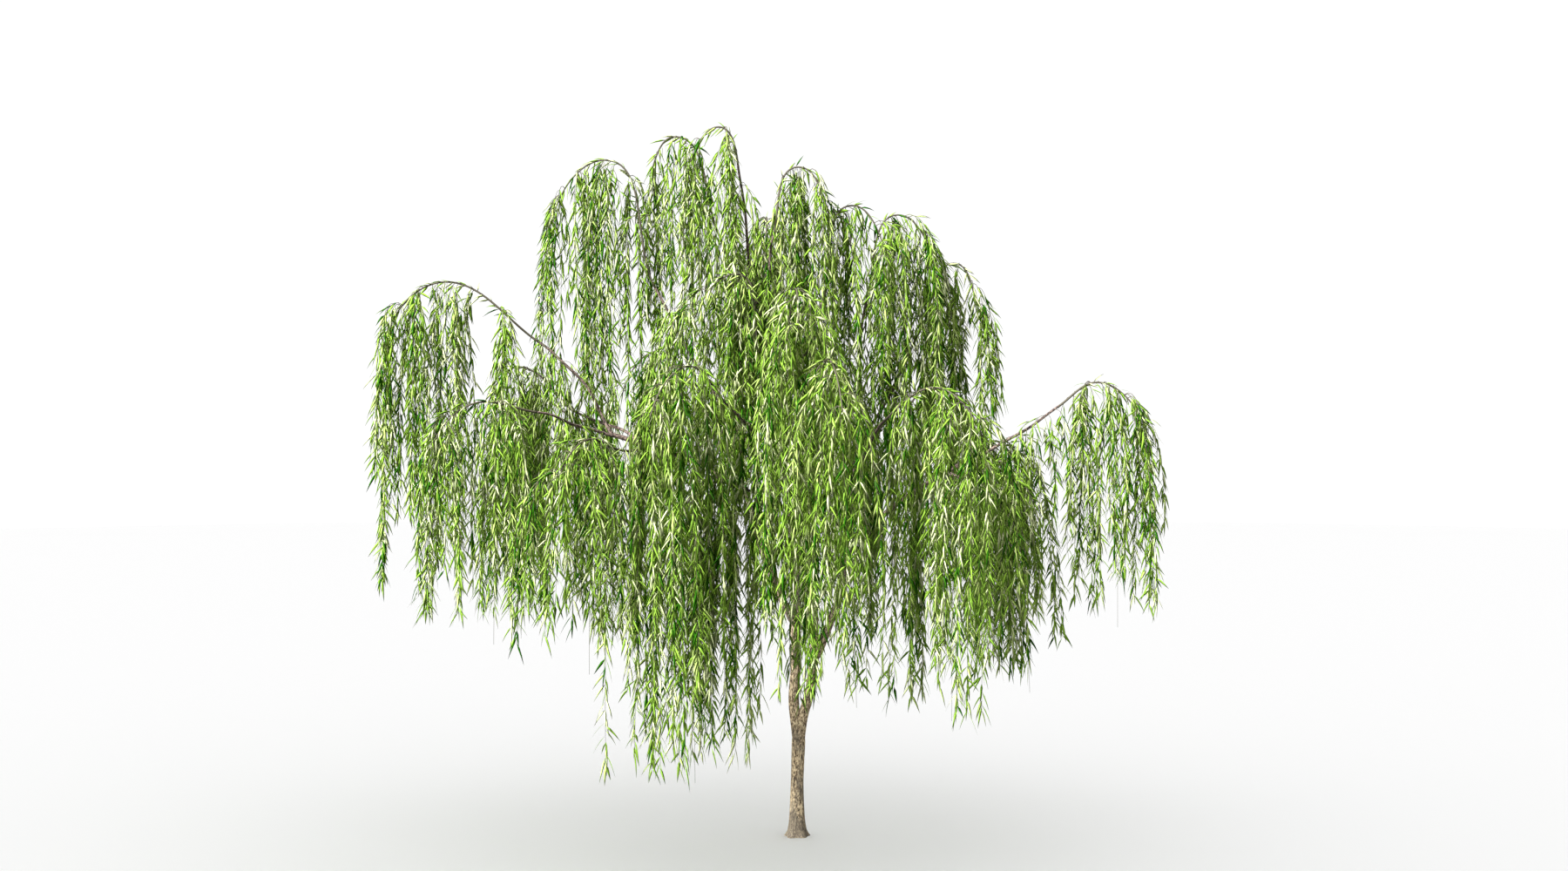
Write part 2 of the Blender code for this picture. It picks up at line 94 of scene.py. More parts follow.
# Bark relief. Slopes are in radians for each metre along the limb.
FURROW_SLOPE = 24.0
FURROW_WAVES = 7
FURROW_WIDTH = 0.32
FURROW_MEAN = 0.65
FURROW_SWING = 0.35
FURROW_RUN = 9.0
FURROW_WIND = 2.0
BUMP_TURNS = (1, 4)
BUMP_SLOPE = 11.0
BUMP_WAVES = 5

# Bark tones: pale, warm, dark and weathered. The weathered tone is also laid on the trunk's foot as
# painted shade.
OLD_BARK = ((0.520, 0.425, 0.270), (0.200, 0.143, 0.084), (0.014, 0.010, 0.006), (0.066, 0.057, 0.045))
YOUNG_BARK = ((0.165, 0.120, 0.098), (0.045, 0.031, 0.026), (0.009, 0.006, 0.005), (0.030, 0.023, 0.021))
YOUNG_FROM = 1.35
YOUNG_ABOVE = 2.00
YOUNG_RAGGED = 1.6
# Painted shade at the trunk's foot: below this height the patches are raised towards the weathered tone,
# by the second value at the ground
FOOT_CLIMB = 0.60
FOOT_PAINTED_SHADE = 0.20

BARK_ROUGHNESS = 0.86
BARK_SPECULAR = 0.25
BARK_BUMP_STRENGTH = 0.55
# Noises in the bark: stretch along the grain, size and detail
STREAK_NOISE = (0.42, 88, 10)
PATCH_NOISE = (0.30, 15, 6)
NOISE_ROUGHNESS = 0.62
# Values of the streaks at which each tone is reached and the pale one held to, and of the
# patches, raised near the ground by the painted foot shade, at which wear and shade start and
# are greatest
DARK_AT = 0.38
WARM_AT = 0.48
PALE_AT = 0.58
PALE_TO = 0.80
WEAR_AND_SHADE_FROM = 0.47
WEAR_AND_SHADE_AT = 0.63
WEAR_AND_SHADE_MOST = 0.78


def unit(vectors):
    """Each vector divided by its length."""
    vectors = np.asarray(vectors, dtype=float)
    return vectors / np.linalg.norm(vectors, axis=-1, keepdims=True)


def frames_along(line):
    """Direction along a line and two directions across it at each row, carried on without twist:
    each row's side is the row before's, less its part along the new direction."""
    along = unit(np.gradient(line, axis=0))
    side = np.cross(along[0], ACROSS_HINT)
    sides = np.empty_like(along)
    for row, tangent in enumerate(along):
        side = unit(side - tangent * (side @ tangent))
        sides[row] = side
    return along, sides, np.cross(along, sides)


def run_along(line):
    """Distance along a line at each row: the running sum of the steps between rows."""
    return np.append(0.0, np.cumsum(np.linalg.norm(np.diff(line, axis=0), axis=1)))


def tube_triangles(rows, sides):
    """Corners of the triangles that close a tube: two for each cell of the grid of rows and
    sides, and a fan at each end round its middle point."""
    row, column = np.meshgrid(np.arange(rows - 1), np.arange(sides), indexing="ij")
    here = row * sides + column
    beside = row * sides + (column + 1) % sides
    walls = np.stack([here, beside, beside + sides, here, beside + sides, here + sides], axis=-1)
    ring = np.arange(sides)
    around = (ring + 1) % sides
    first = rows * sides
    last = (rows - 1) * sides
    foot = np.stack([around, ring, np.full(sides, first)], axis=-1)
    head = np.stack([last + ring, last + around, np.full(sides, first + 1)], axis=-1)
    return np.concatenate([walls.reshape(-1, 3), foot, head])


def tube_points(line, radii, sides):
    """Points of a tube: at each row of the line a ring whose radius is that row's value for each
    side, then the middle points of its two ends. Also the grain, which is the place in the
    tube's own straightened frame: across, across and along."""
    _, side, other = frames_along(line)
    angles = np.arange(sides) * 2 * math.pi / sides
    radii = np.broadcast_to(radii, (len(line), sides))
    out = side[:, None] * np.cos(angles)[:, None] + other[:, None] * np.sin(angles)[:, None]
    rings = line[:, None] + out * radii[:, :, None]
    run = np.broadcast_to(run_along(line)[:, None], radii.shape)
    grain = np.stack([radii * np.cos(angles), radii * np.sin(angles), run], axis=-1)
    ends = np.array([(0, 0, run[0, 0]), (0, 0, run[-1, 0])])
    points = np.concatenate([rings.reshape(-1, 3), line[:1], line[-1:]])
    return points, np.concatenate([grain.reshape(-1, 3), ends])


def new_piece(name, points, triangles, materials, tints=None, grain=None):
    """A mesh object at the origin from whole arrays of points and triangles."""
    mesh = bpy.data.meshes.new(name)
    mesh.vertices.add(len(points))
    mesh.vertices.foreach_set("co", np.ascontiguousarray(points, dtype=np.float32).ravel())
    mesh.loops.add(triangles.size)
    mesh.loops.foreach_set("vertex_index", triangles.ravel().astype(np.int32))
    mesh.polygons.add(len(triangles))
    mesh.polygons.foreach_set("loop_start", np.arange(0, triangles.size, 3, dtype=np.int32))
    for material in materials:
        mesh.materials.append(material)
    if tints is not None:
        mesh.polygons.foreach_set("material_index", tints.astype(np.int32))
    mesh.update(calc_edges=True)
    mesh.validate()
    if grain is not None:
        layer = mesh.attributes.new("grain", "FLOAT_VECTOR", "POINT")
        layer.data.foreach_set("vector", np.ascontiguousarray(grain, dtype=np.float32).ravel())
        mesh.shade_smooth()
    piece = bpy.data.objects.new(name, mesh)
    bpy.context.scene.collection.objects.link(piece)
    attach(piece, "root")
    return piece


def waves(angle, run, draw, around, climb, count):
    """Sum of cosine waves that wind round and along a limb, each with a whole number of turns,
    divided by the root of their number."""
    total = np.zeros(np.broadcast_shapes(angle.shape, run.shape))
    for _ in range(count):
        turns = int(draw.integers(*around))
        slope = draw.uniform(-climb, climb)
        total += np.cos(turns * angle + slope * run + draw.uniform(0, 2 * math.pi))
    return total / math.sqrt(count)


def bark_relief(angle, run, draw, furrows, furrow_depth, bump_height):
    """Height of the bark: long furrows where a sum of fine waves is near nought, on broad bumps."""
    fine = waves(angle, run, draw, furrows, FURROW_SLOPE, FURROW_WAVES)
    depth = FURROW_MEAN + FURROW_SWING * np.cos(FURROW_RUN * run + FURROW_WIND * angle)
    furrow = np.exp(-(fine / FURROW_WIDTH) ** 2) * depth
    broad = waves(angle, run, draw, BUMP_TURNS, BUMP_SLOPE, BUMP_WAVES)
    return bump_height * broad - furrow_depth * furrow


def bark_material(name, tones, bump, upper_tones=None, scale=1.0):
    """Bark whose colour and small relief follow the grain of each limb, darkened near the ground by
    painted shade. Upper tones, if given, take over with height. Scale is the number of streaks
    against the trunk's."""
    material = bpy.data.materials.new(name)
    material.use_nodes = True
    nodes = material.node_tree.nodes
    links = material.node_tree.links
    shader = nodes["Principled BSDF"]
    shader.inputs["Roughness"].default_value = BARK_ROUGHNESS
    shader.inputs["Specular IOR Level"].default_value = BARK_SPECULAR
    grain = nodes.new("ShaderNodeAttribute")
    grain.attribute_name = "grain"

    def noise(stretch, size, detail):
        """Noise in the grain's frame, stretched along it."""
        mapping = nodes.new("ShaderNodeMapping")
        mapping.inputs["Scale"].default_value = (1, 1, stretch)
        links.new(grain.outputs["Vector"], mapping.inputs["Vector"])
        texture = nodes.new("ShaderNodeTexNoise")
        texture.inputs["Scale"].default_value = size * scale
        texture.inputs["Detail"].default_value = detail
        texture.inputs["Roughness"].default_value = NOISE_ROUGHNESS
        links.new(mapping.outputs["Vector"], texture.inputs["Vector"])
        return texture.outputs["Fac"]

    def ramp(factor, stops):
        """A colour for each value of the factor, on straight lines between the stops."""
        node = nodes.new("ShaderNodeValToRGB")
        node.color_ramp.elements[0].position = stops[0][0]
        node.color_ramp.elements[0].color = (*stops[0][1], 1)
        node.color_ramp.elements[1].position = stops[-1][0]
        node.color_ramp.elements[1].color = (*stops[-1][1], 1)
        for position, colour in stops[1:-1]:
            node.color_ramp.elements.new(position).color = (*colour, 1)
        links.new(factor, node.inputs["Fac"])
        return node.outputs["Color"]

    def blend(factor, first):
        """A mix that goes from the first colour to one set later as the factor rises."""
        node = nodes.new("ShaderNodeMix")
        node.data_type = "RGBA"
        links.new(factor, node.inputs["Factor"])
        links.new(first, node.inputs["A"])
        return node

    streaks = noise(*STREAK_NOISE)
    patches = noise(*PATCH_NOISE)
    place = nodes.new("ShaderNodeTexCoord")
    parts = nodes.new("ShaderNodeSeparateXYZ")
    links.new(place.outputs["Object"], parts.inputs["Vector"])
    # Painted shade: near the ground the patches are raised, so the bark darkens towards its foot
    foot = nodes.new("ShaderNodeMapRange")
    foot.inputs["From Max"].default_value = FOOT_CLIMB
    foot.inputs["To Min"].default_value = FOOT_PAINTED_SHADE
    foot.inputs["To Max"].default_value = 0.0
    links.new(parts.outputs["Z"], foot.inputs["Value"])
    wear_and_foot_shade = nodes.new("ShaderNodeMath")
    links.new(patches, wear_and_foot_shade.inputs[0])
    links.new(foot.outputs["Result"], wear_and_foot_shade.inputs[1])
    mask = ramp(wear_and_foot_shade.outputs["Value"], [(WEAR_AND_SHADE_FROM, (0, 0, 0)), (WEAR_AND_SHADE_AT, (WEAR_AND_SHADE_MOST,) * 3)])

    def coat(pale, warm, dark, wear_and_shade_tone):
        """The tones by the streaks, turned to the weathered tone by the mask: worn patches, and painted
        shade at the foot.
        """
        ground = ramp(streaks, [(DARK_AT, dark), (WARM_AT, warm), (PALE_AT, pale), (PALE_TO, pale)])
        wear_and_shade = blend(mask, ground)
        wear_and_shade.inputs["B"].default_value = (*wear_and_shade_tone, 1)
        return wear_and_shade.outputs["Result"]

    colour = coat(*tones)
    if upper_tones:
        ragged = nodes.new("ShaderNodeMath")
        ragged.operation = "MULTIPLY_ADD"
        links.new(patches, ragged.inputs[0])
        ragged.inputs[1].default_value = YOUNG_RAGGED
        links.new(parts.outputs["Z"], ragged.inputs[2])
        climb = nodes.new("ShaderNodeMapRange")
        climb.inputs["From Min"].default_value = YOUNG_FROM + YOUNG_RAGGED / 2
        climb.inputs["From Max"].default_value = YOUNG_ABOVE + YOUNG_RAGGED / 2
        links.new(ragged.outputs["Value"], climb.inputs["Value"])
        turned = blend(climb.outputs["Result"], colour)
        links.new(coat(*upper_tones), turned.inputs["B"])
        colour = turned.outputs["Result"]
    links.new(colour, shader.inputs["Base Color"])
    relief = nodes.new("ShaderNodeBump")
    relief.inputs["Strength"].default_value = BARK_BUMP_STRENGTH
    relief.inputs["Distance"].default_value = bump
    links.new(streaks, relief.inputs["Height"])
    links.new(relief.outputs["Normal"], shader.inputs["Normal"])
    return material


def trunk_surface():
    """The trunk: rings that crowd towards the foot, each ring's radius a taper times a flare that
    dies away upwards and is lobed into toes, times lobes that die away down from the fork, plus
    the bark, all rounded to a dome at the top."""
    share = np.linspace(0.0, 1.0, TRUNK_RINGS + 1) ** RING_CROWDING
    heights = TRUNK_HEIGHT * share
    line = np.stack([TRUNK_LEAN * share ** 2, 0 * share, heights], axis=1)
    angle = np.arange(TRUNK_SIDES)[None, :] * 2 * math.pi / TRUNK_SIDES
    run = heights[:, None]
    taper = TRUNK_FOOT + (TRUNK_TOP - TRUNK_FOOT) * np.minimum(share / TRUNK_TAPER, 1.0)
    swell = FLARE_SWELL * np.exp(-run / FLARE_CLIMB)
    toes = 1 + TOE_DEPTH / FLARE_SWELL * np.cos(FLARE_TOES * angle)
    into_dome = np.clip((heights - TRUNK_HEIGHT + TRUNK_DOME) / TRUNK_DOME, 0, DOME_END)
    dome = np.sqrt(1 - into_dome ** 2)[:, None]
    fork = 1 + FORK_LOBE * np.exp((run - TRUNK_HEIGHT) / FORK_DEPTH) * np.cos(FORK_LOBES * angle)
    draw = np.random.default_rng([SEED, TRUNK_DRAW])
    bark = bark_relief(angle, run, draw, TRUNK_FURROWS, TRUNK_FURROW, TRUNK_BUMP)
    radii = (taper[:, None] * (1 + swell * toes) * fork + bark - TRUNK_BUMP) * dome
    return line, radii


trunk_bark = bark_material("willow_bark", OLD_BARK, TRUNK_FINE_BUMP, YOUNG_BARK)
line, radii = trunk_surface()
points, grain = tube_points(line, radii, TRUNK_SIDES)
piece = new_piece("trunk_wood", points, tube_triangles(len(line), TRUNK_SIDES), [trunk_bark], grain=grain)
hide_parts("trunk")

# ---------------------------------------------------------------------------------------------
# Stems, limbs and boughs. Round green wood that grows out of the piece below it through a
# swollen collar, wanders a little and tapers. The two stems have the trunk's bark and no collar,
# the limbs shallow bark that turns brown with height, and the boughs a thin brown one.
# ---------------------------------------------------------------------------------------------
Limb = namedtuple("Limb", "name parent share tip lead arrive root_radius tip_radius")
Bough = namedtuple("Bough", "name parent share tip lead arrive radius crest end skirt width shoots")

WANDER = 0.012
WANDER_WAVES = 2.6
BOUGH_TIP = 0.010
COLLAR_SWELL = 0.30
COLLAR_LENGTH = 0.055
RING_STEP = 0.012
STEM_SIDES = 56
LIMB_SIDES = 30
BOUGH_SIDES = 14
LIMB_FURROWS = (6, 13)
STEM_FURROW = 0.0018
STEM_BUMP = 0.0016
LIMB_FURROW = 0.0006
LIMB_BUMP = 0.0009
LIMB_FINE_BUMP = 0.003
BOUGH_FINE_BUMP = 0.002
BOUGH_BARK_SCALE = 1.3

LIMBS = [
    Limb("left_stem", "trunk", 0.88, (-0.01, 0.03, 1.84), (-0.10, 0.04, 1), (0.02, 0.03, 1),
         0.047, 0.041),
    Limb("right_stem", "trunk", 0.88, (0.16, -0.06, 1.56), (0.18, -0.08, 1), (0.20, -0.06, 1),
         0.044, 0.040),
    Limb("left_limb", "left_stem", 0.97, (-0.45, 0.05, 2.95), (-0.75, 0, 1), (-0.35, 0, 1),
         0.035, 0.026),
    Limb("leader", "left_stem", 0.97, (-0.30, 0.05, 4.15), (0.12, 0.02, 1), (-0.05, 0, 1),
         0.037, 0.021),
    Limb("back_limb", "left_stem", 0.82, (0.02, 0.72, 2.80), (0.05, 0.8, 1), (0, 0.45, 1),
         0.030, 0.022),
    Limb("front_limb", "right_stem", 0.97, (0.12, -0.40, 2.80), (-0.08, -0.16, 1), (-0.05, -0.4, 1),
         0.034, 0.024),
    Limb("right_limb", "right_stem", 0.97, (0.47, 0.00, 2.75), (0.62, 0.06, 1), (0.08, 0.05, 1),
         0.036, 0.028),
    Limb("outer_left_limb", "left_limb", 0.98, (-1.58, -0.10, 3.40), (-0.9, -0.05, 0.5), (-1, -0.1, 0.2),
         0.026, 0.020),
    Limb("outer_right_limb", "right_limb", 0.80, (1.42, -0.02, 3.16), (0.9, -0.02, 0.6), (1, 0, 0.4),
         0.025, 0.019),
]

# A bough's row also gives the foliage that it carries: the crest that its stem arches over, the
# place where the stem ends, the height of the skirt, the half width and the main shoots.
BOUGHS = [
    Bough("top", "leader", 0.98, (-0.50, 0.00, 5.68), (-0.05, 0, 1), (-0.1, 0, 1), 0.015,
          (-0.66, -0.02, 6.00), (-0.90, -0.05, 5.70), 4.20, 0.17, 3),
    Bough("top_left", "leader", 0.90, (-0.68, 0.32, 5.14), (-0.4, 0.5, 1), (-0.4, 0.1, 1), 0.014,
          (-1.06, 0.38, 5.98), (-1.28, 0.42, 5.64), 3.95, 0.16, 4),
    Bough("top_right", "leader", 0.84, (-0.20, -0.18, 5.06), (0.4, -0.3, 1), (0.3, 0, 1), 0.014,
          (0.01, -0.17, 5.64), (0.27, -0.20, 5.24), 3.40, 0.28, 6),
    Bough("upper_left", "leader", 0.50, (-1.22, 0.30, 4.66), (-1, 0.3, 0.7), (-0.6, 0.1, 1), 0.018,
          (-1.66, 0.32, 5.77), (-2.06, 0.35, 5.42), 3.40, 0.38, 7),
    Bough("back_upper", "leader", 0.68, (-0.28, 0.72, 4.76), (0, 1, 1), (-0.05, 0.6, 1), 0.015,
          (-0.27, 1.08, 5.36), (-0.34, 1.50, 4.96), 3.00, 0.44, 6),
    Bough("front_upper", "leader", 0.46, (-0.08, -0.70, 4.12), (0.2, -1, 0.8), (0.05, -0.7, 1), 0.015,
          (-0.02, -1.05, 4.55), (0.00, -1.50, 4.20), 1.90, 0.44, 7),
    Bough("upper_right", "right_limb", 0.98, (0.62, 0.10, 4.66), (0.1, 0.05, 1), (0.2, 0, 1), 0.022,
          (0.86, 0.10, 5.27), (1.17, 0.10, 4.88), 3.00, 0.38, 6),
    Bough("right_shoulder", "upper_right_bough", 0.30, (1.10, 0.34, 4.36), (0.8, 0.3, 1), (0.5, 0.1, 1),
          0.014, (1.36, 0.35, 4.88), (1.58, 0.38, 4.48), 2.80, 0.32, 5),
    Bough("far_left", "outer_left_limb", 0.98, (-2.16, -0.15, 4.17), (-0.5, 0, 1), (-1, -0.1, 0.6), 0.015,
          (-2.92, -0.26, 4.67), (-3.34, -0.34, 4.36), 2.10, 0.40, 8),
    Bough("left_low", "outer_left_limb", 0.95, (-2.12, -0.62, 3.58), (-1, -0.5, 0.1), (-1, -0.6, 0.15),
          0.014, (-2.50, -0.86, 3.66), (-2.86, -1.08, 3.36), 1.90, 0.38, 6),
    Bough("left_mid", "outer_left_limb", 0.55, (-1.43, -1.05, 3.28), (-0.3, -1, 0.3), (-0.4, -1, 0.1),
          0.014, (-1.60, -1.42, 3.36), (-1.80, -1.80, 3.06), 1.74, 0.42, 7),
    Bough("left_back", "outer_left_limb", 0.72, (-2.00, 0.72, 3.56), (-0.5, 1, 0.3), (-0.6, 0.8, 0.3),
          0.014, (-2.38, 1.00, 3.76), (-2.70, 1.26, 3.46), 1.70, 0.40, 6),
    Bough("far_right", "outer_right_limb", 0.98, (2.22, 0.00, 3.64), (1, 0, 0.4), (1, 0, 0.7), 0.015,
          (2.54, 0.00, 3.84), (2.90, -0.02, 3.54), 1.88, 0.32, 6),
    Bough("right_inner", "outer_right_limb", 0.84, (1.46, -0.46, 3.06), (0.5, -1, 0), (0.7, -0.6, 0.2),
          0.013, (1.64, -0.60, 3.18), (1.82, -0.78, 2.86), 1.42, 0.32, 7),
    Bough("right_back", "outer_right_limb", 0.70, (1.50, 0.74, 3.28), (0.4, 1, 0.4), (0.6, 0.7, 0.3),
          0.014, (1.78, 1.00, 3.34), (2.06, 1.26, 2.98), 1.45, 0.40, 6),
    Bough("front_left", "front_limb", 0.90, (-0.51, -1.10, 3.58), (-0.8, -0.7, 1), (-0.8, -0.8, 0.6),
          0.016, (-0.83, -1.50, 3.92), (-1.11, -1.92, 3.52), 0.80, 0.38, 9),
    Bough("front_low", "front_limb", 0.50, (-0.27, -0.82, 2.88), (-0.6, -0.6, 0.6), (-0.4, -0.8, 0.4),
          0.014, (-0.66, -1.04, 3.02), (-0.92, -1.30, 2.74), 0.92, 0.42, 6),
    Bough("front_centre", "front_limb", 0.98, (0.14, -1.16, 3.66), (0.1, -0.6, 1), (0.1, -0.8, 0.6),
          0.017, (0.22, -1.64, 3.97), (0.32, -2.12, 3.56), 1.38, 0.37, 7),
    Bough("front_right", "right_limb", 0.86, (0.68, -1.02, 3.50), (0.2, -1, 0.8), (0.4, -0.9, 0.4),
          0.016, (1.04, -1.46, 3.76), (1.38, -1.80, 3.38), 1.24, 0.42, 8),
    Bough("back_left", "back_limb", 0.92, (-0.90, 1.30, 3.84), (-0.8, 0.4, 1), (-0.8, 0.6, 0.5),
          0.016, (-1.30, 1.70, 4.18), (-1.66, 2.10, 3.78), 1.40, 0.46, 6),
    Bough("back_centre", "back_limb", 0.98, (0.26, 1.45, 3.94), (0.1, 0.5, 1), (0.1, 1, 0.6),
          0.016, (0.34, 1.94, 4.28), (0.42, 2.38, 3.84), 1.48, 0.44, 5),
    Bough("back_right", "back_limb", 0.80, (0.95, 1.24, 3.60), (1, 0.2, 0.9), (0.8, 0.6, 0.4),
          0.015, (1.28, 1.62, 3.90), (1.56, 1.96, 3.50), 1.48, 0.42, 5),
    Bough("inner_left", "leader", 0.58, (-0.33, -0.16, 4.10), (-0.2, -0.3, 1), (-0.2, -0.1, 1),
          0.015, (-0.51, -0.20, 4.74), (-0.86, -0.24, 4.36), 2.75, 0.44, 6),
    Bough("inner_right", "leader", 0.76, (0.24, -0.12, 4.60), (0.8, -0.1, 1), (0.3, -0.05, 1),
          0.014, (0.46, -0.14, 5.32), (0.74, -0.18, 4.94), 3.30, 0.38, 5),
    Bough("left_inner", "outer_left_limb", 0.80, (-2.02, 0.18, 3.70), (-0.5, 0.6, 0.8), (-0.7, 0.2, 1),
          0.013, (-2.40, 0.26, 3.98), (-2.66, 0.32, 3.68), 2.40, 0.26, 4),
]


def cubic(a, b, c, d, shares):
    """The cubic curve of four control points at each share: the points weighted by the cube of
    what is left, three times its square times the share, and so on."""
    t = np.asarray(shares)[:, None]
    return (1 - t) ** 3 * a + 3 * (1 - t) ** 2 * t * b + 3 * (1 - t) * t ** 2 * c + t ** 3 * d


def limb_line(start, tip, lead, arrive, draw, rings):
    """Line of a limb: the cubic curve that leaves along lead and arrives along arrive, plus sine
    waves in X, Y and Z that die away at both ends."""
    shares = np.linspace(0.0, 1.0, rings + 1)
    tip = np.array(tip)
    chord = np.linalg.norm(tip - start)
    smooth = cubic(start, start + chord / 3 * unit(lead), tip - chord / 3 * unit(arrive), tip, shares)
    swing = np.sin(math.pi * shares)[:, None] * WANDER * chord
    phases = draw.uniform(0, 2 * math.pi, 3)
    return smooth + swing * np.sin(WANDER_WAVES * math.pi * shares[:, None] + phases)


def point_on(line, share):
    """The point at a share of a line's rows."""
    row = share * (len(line) - 1)
    return np.array([np.interp(row, np.arange(len(line)), line[:, axis]) for axis in range(3)])


def limb_radii(line, root_radius, tip_radius, parent_radius, collar_swell, sides, draw, furrow, bump):
    """Radii of a limb: an even taper, a collar that dies away past the parent's surface, bark."""
    run = run_along(line)
    taper = np.linspace(root_radius, tip_radius, len(line))
    collar = 1 + collar_swell * np.exp(-np.maximum(run - parent_radius, 0) / COLLAR_LENGTH)
    angle = np.arange(sides)[None, :] * 2 * math.pi / sides
    bark = bark_relief(angle, run[:, None], draw, LIMB_FURROWS, furrow, bump)
    return (taper * collar)[:, None] + bark * (taper / root_radius)[:, None]


limb_bark = bark_material("limb_bark", OLD_BARK, LIMB_FINE_BUMP, YOUNG_BARK)
young_bark = bark_material("young_bark", YOUNG_BARK, BOUGH_FINE_BUMP, scale=BOUGH_BARK_SCALE)
stem_relief = (0.0, STEM_FURROW, STEM_BUMP)
limb_relief = (COLLAR_SWELL, LIMB_FURROW, LIMB_BUMP)
lines = {"trunk": (line, TRUNK_TOP)}
boughs = [Limb(b.name + "_bough", b.parent, b.share, b.tip, b.lead, b.arrive, b.radius, BOUGH_TIP)
          for b in BOUGHS]
for number, limb in enumerate(LIMBS + boughs):
    draw = np.random.default_rng([SEED, number])
    base, base_radius = lines[limb.parent]
    start = point_on(base, limb.share)
    rings = int(np.linalg.norm(np.array(limb.tip) - start) / RING_STEP)
    line = limb_line(start, limb.tip, limb.lead, limb.arrive, draw, rings)
    stem = limb.name.endswith("_stem")
    sides = STEM_SIDES if stem else BOUGH_SIDES if limb in boughs else LIMB_SIDES
    swell, furrow, bump = stem_relief if stem else limb_relief
    radii = limb_radii(line, limb.root_radius, limb.tip_radius, base_radius, swell, sides, draw,
                       furrow, bump)
    points, grain = tube_points(line, radii, sides)
    bark = trunk_bark if stem else young_bark if limb in boughs else limb_bark
    piece = new_piece(limb.name + "_wood", points, tube_triangles(len(line), sides), [bark], grain=grain)
    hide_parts(limb.name)
    lines[limb.name] = (line, limb.root_radius)

# ---------------------------------------------------------------------------------------------
# Foliage: twigs. From each bough's tip a thin stem arches over its crest. Shoots leave it to
# both sides, bend over and hang to the skirt, finer sprays leave the shoots and hang beside
# them, and others hang from the bough itself. Thin smooth bark, greenish brown.
# ---------------------------------------------------------------------------------------------
ARCH_END = 0.0055
ARCH_SIDES = 6
ARCH_RINGS = 40
ARCH_LEVEL = 0.4

SHOOT_FIRST = 0.97
SHOOT_STRETCH = 0.87
SHOOT_RISE = 0.10
SHOOT_TURN = (math.radians(25), math.radians(110))
SHOOT_REACH = 0.45
RAGGED = 0.40
RAGGED_BIAS = 1.7
SHOOT_OVER = 0.55
SHOOT_BEND = 0.22
SHOOT_SWING = 1.04
SHOOT_RINGS = 11
SHOOT_ROOT = 0.0034
SHOOT_END = 0.0014
SHOOT_CROWD = 2.5
SHOOT_TAIL = 0.10
TASSEL_EVERY = 3
TASSEL_SHIFT = (-0.04, 0.04)
TASSEL_WIDTH = 0.09
BARE_SHOOT = 9
BARE_FOOT = 0.48
BARE_DROP = 0.42
GOLDEN_SHARE = 0.6180339887

SPRAYS_PER_SHOOT = (1, 2)
SPRAY_REACH = (0.05, 0.18)
SPRAY_PLACE = (0.04, 0.42)
SPRAY_SHORT = 0.50
SPRAY_RISE = 0.03
SPRAY_ROOT = 0.0024
SPRAY_SHORT_SPREAD = (-0.3, 1.0)
SWAY = 0.024
SWAY_TURN = 5.5

BOUGH_SPRAYS = 14
BOUGH_SPRAY_PLACE = (0.42, 0.98)
BOUGH_SPRAY_REACH = (0.06, 0.25)
BOUGH_SPRAY_HANG = (0.25, 1.50)

TWIG_SIDES = 3
# A finish is a roughness and a specular
TWIG_BARK = (0.042, 0.036, 0.022)
TWIG_FINISH = (0.70, 0.30)
YOUNG_TWIG_BARK = (0.070, 0.076, 0.028)
YOUNG_TWIG_FINISH = (0.65, 0.30)
YOUNG_TWIG_EVERY = 3


def plain_material(name, colour, roughness, specular):
    """A finish of one colour, set on the shader itself."""
    material = bpy.data.materials.new(name)
    material.use_nodes = True
    shader = material.node_tree.nodes["Principled BSDF"]
    shader.inputs["Base Color"].default_value = (*colour, 1)
    shader.inputs["Roughness"].default_value = roughness
    shader.inputs["Specular IOR Level"].default_value = specular
    return material


def arch_line(start, lead, crest, end, shares):
    """Line of an arching stem: one cubic curve that rises from start to the crest, level there,
    and a second that bends down from the crest to the end."""
    crest = np.array(crest)
    end = np.array(end)
    level = unit((end - start) * (1, 1, 0))
    rise = np.linalg.norm(crest - start) / 3
    fall = np.linalg.norm(end - crest) / 3
    near = cubic(start, start + rise * unit(lead), crest - rise * level, crest, np.clip(2 * shares, 0, 1))
    down = end - fall * unit(ARCH_LEVEL * level - UP)
    far = cubic(crest, crest + fall * level, down, end, np.clip(2 * shares - 1, 0, 1))
    return np.where(shares[:, None] < 0.5, near, far)


def hanging_line(root, out, rise, drop, draw):
    """Line of a hanging shoot: a cubic curve that rises as it leaves, bends over and hangs, with
    a slow sway that grows towards its foot."""
    shares = np.linspace(0.0, 1.0, SHOOT_RINGS + 1)
    over = root + out * SHOOT_OVER + UP * rise
    bend = root + out - UP * drop * SHOOT_BEND
    foot = root + out * SHOOT_SWING - UP * drop
    line = cubic(root, over, bend, foot, shares)
    phase = draw.uniform(0, 2 * math.pi, 2)
    sway = np.sin(shares[:, None] * SWAY_TURN + phase) - np.sin(phase)
    line[:, :2] += SWAY * shares[:, None] * sway
    return line


def spray_line(start, reach, fall, draw):
    """Line of a short spray that leaves its start to any side and hangs beside it."""
    heading = draw.uniform(0, 2 * math.pi)
    aside = np.array([math.cos(heading), math.sin(heading), 0.0]) * draw.uniform(*reach)
    return hanging_line(start, aside, SPRAY_RISE, fall, draw)


